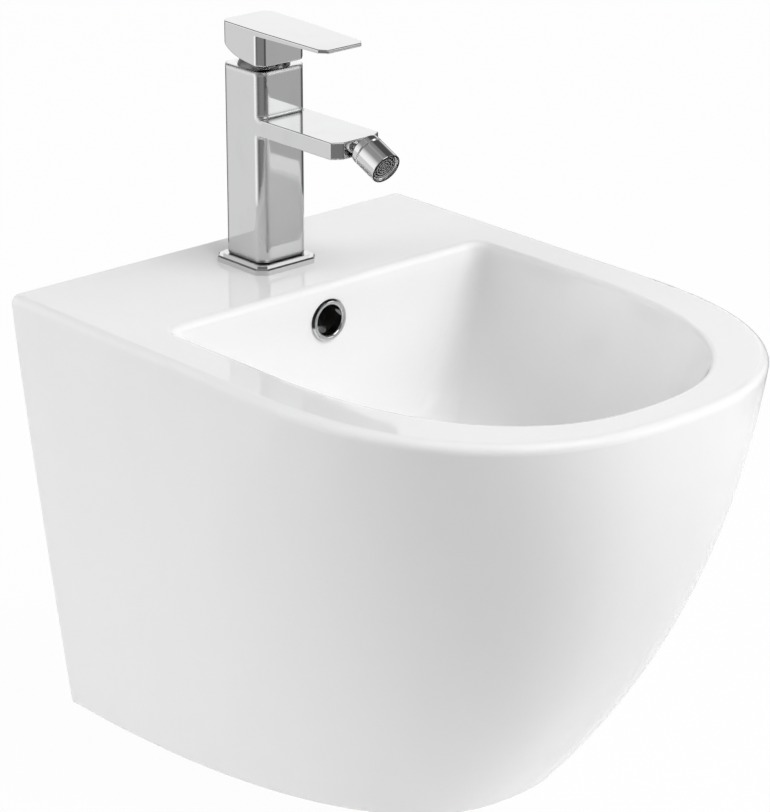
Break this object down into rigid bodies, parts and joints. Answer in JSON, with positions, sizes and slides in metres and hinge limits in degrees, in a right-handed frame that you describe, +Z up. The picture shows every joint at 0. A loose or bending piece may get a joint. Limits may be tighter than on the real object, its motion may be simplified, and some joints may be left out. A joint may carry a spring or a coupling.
{
  "type": "bidet",
  "caption": "Wall-hung ceramic bidet: a tapering D-shaped bowl with overflow and press plug, and a square chrome lever mixer with a swivelling nozzle.",
  "frame": {"origin": "midway between the two wall-bolt holes, on the rear face that meets the wall", "axes": "+Z up, +Y into the wall, -Y towards the bowl's front, +X to the right of someone facing the wall"},
  "size_m": [0.36, 0.4669, 0.5],
  "materials": {
    "glazed_ceramic": "glossy white glaze",
    "chrome": "bright chrome plate",
    "brass": "machined",
    "steel": "machined stainless",
    "rubber": "moulded",
    "white_plastic": "moulded",
    "grey_plastic": "moulded",
    "disc_ceramic": "lapped"
  },
  "bodies": {
    "fixture": {"cartridge_dome": "chrome", "cartridge_housing": "white_plastic", "cartridge_nut": "brass", "cartridge_seal": "rubber", "ceramic_body": "glazed_ceramic", "clamp_gasket": "rubber", "clamp_washer": "steel", "fixed_disc": "disc_ceramic", "mounting_stud": "steel", "overflow_ring": "chrome", "stud_nut": "brass", "swivel_ball": "chrome", "tap_base_plate": "chrome", "tap_base_seal": "rubber", "tap_body": "chrome", "wall_sleeves": "white_plastic", "waste_backnut": "brass", "waste_body": "chrome", "waste_insert": "white_plastic", "waste_lower_seal": "rubber", "waste_upper_seal": "rubber"},
    "carrier": {"cartridge_carrier": "white_plastic", "pivot_pin": "steel"},
    "lever": {"lever_handle": "chrome", "cartridge_stem": "steel", "lever_screw": "steel", "screw_cap": "grey_plastic"},
    "disc_slider": {"moving_disc": "disc_ceramic"},
    "seat": {"ball_seat": "white_plastic"},
    "nozzle": {"nozzle_collar": "chrome", "nozzle_body": "chrome", "aerator": "grey_plastic"},
    "plug": {"waste_plug": "chrome", "plug_seal": "rubber", "plug_stem": "steel"}
  },
  "joints": [
    {"name": "temperature_turn", "type": "hinge", "parent": "fixture", "child": "carrier", "pos_m": [0, -0.059, 0.216], "axis": [0, 0, 1], "range_deg": [-45, 45]},
    {"name": "flow_lift", "type": "hinge", "parent": "carrier", "child": "lever", "pos_m": [0, -0.059, 0.216], "axis": [-1, 0, 0], "range_deg": [0, 25]},
    {"name": "disc_slide", "type": "slide", "parent": "carrier", "child": "disc_slider", "axis": [0, -1, 0], "range_m": [0, 0.0038]},
    {"name": "nozzle_tilt", "type": "hinge", "parent": "fixture", "child": "seat", "pos_m": [0, -0.1675, 0.1857], "axis": [-1, 0, 0], "range_deg": [-2, 48]},
    {"name": "nozzle_swing", "type": "hinge", "parent": "seat", "child": "nozzle", "pos_m": [0, -0.1675, 0.1857], "axis": [0, -0.4226, 0.9063], "range_deg": [-15, 15]},
    {"name": "plug_press", "type": "slide", "parent": "fixture", "child": "plug", "axis": [0, 0, 1], "range_m": [-0.009, 0], "stiffness_N_per_m": 300, "springref_m": 0.02}
  ],
  "couplings": [
    {"joint": "disc_slide", "follows": "flow_lift", "m_per_rad": 0.00871}
  ]
}
